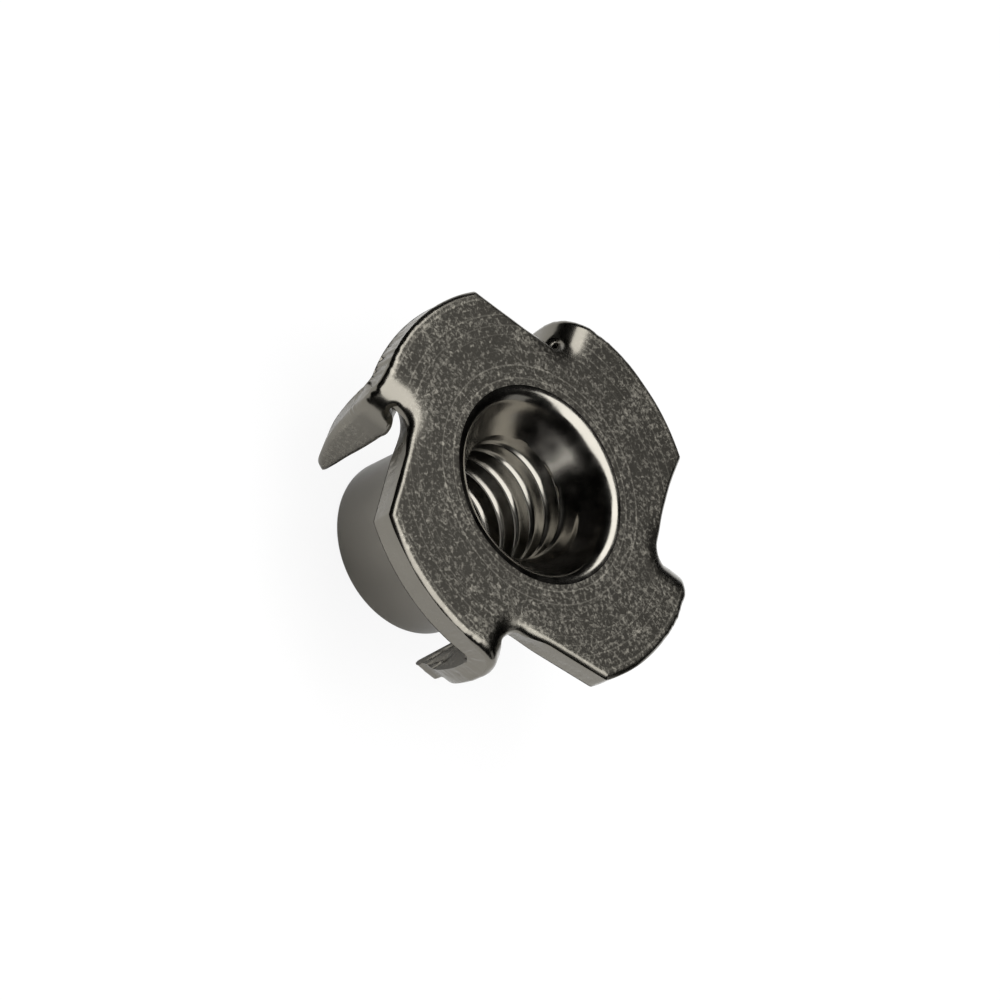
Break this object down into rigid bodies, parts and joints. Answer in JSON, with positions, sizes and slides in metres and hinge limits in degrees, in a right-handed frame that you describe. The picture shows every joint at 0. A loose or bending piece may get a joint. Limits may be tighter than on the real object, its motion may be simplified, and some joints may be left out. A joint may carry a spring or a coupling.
{
  "type": "tee nut",
  "caption": "Flanged, internally threaded barrel nut whose rim is folded down into pinwheel prongs that bite into wood and stop it from turning.",
  "frame": {"origin": "on the thread axis, in the flange's seating face, which lies on the wood", "axes": "+Z along the thread axis, out of the flange's outer face; -Z down the barrel; the prongs' fold lines are parallel to X and Y"},
  "size_m": [0.022, 0.022, 0.0115],
  "materials": {
    "steel": "bright nickel-like plating over stamped and tumbled steel, satin on the flange and polished in the mouth and on the folds"
  },
  "bodies": {
    "root": {"tee_nut": "steel"}
  },
  "joints": []
}
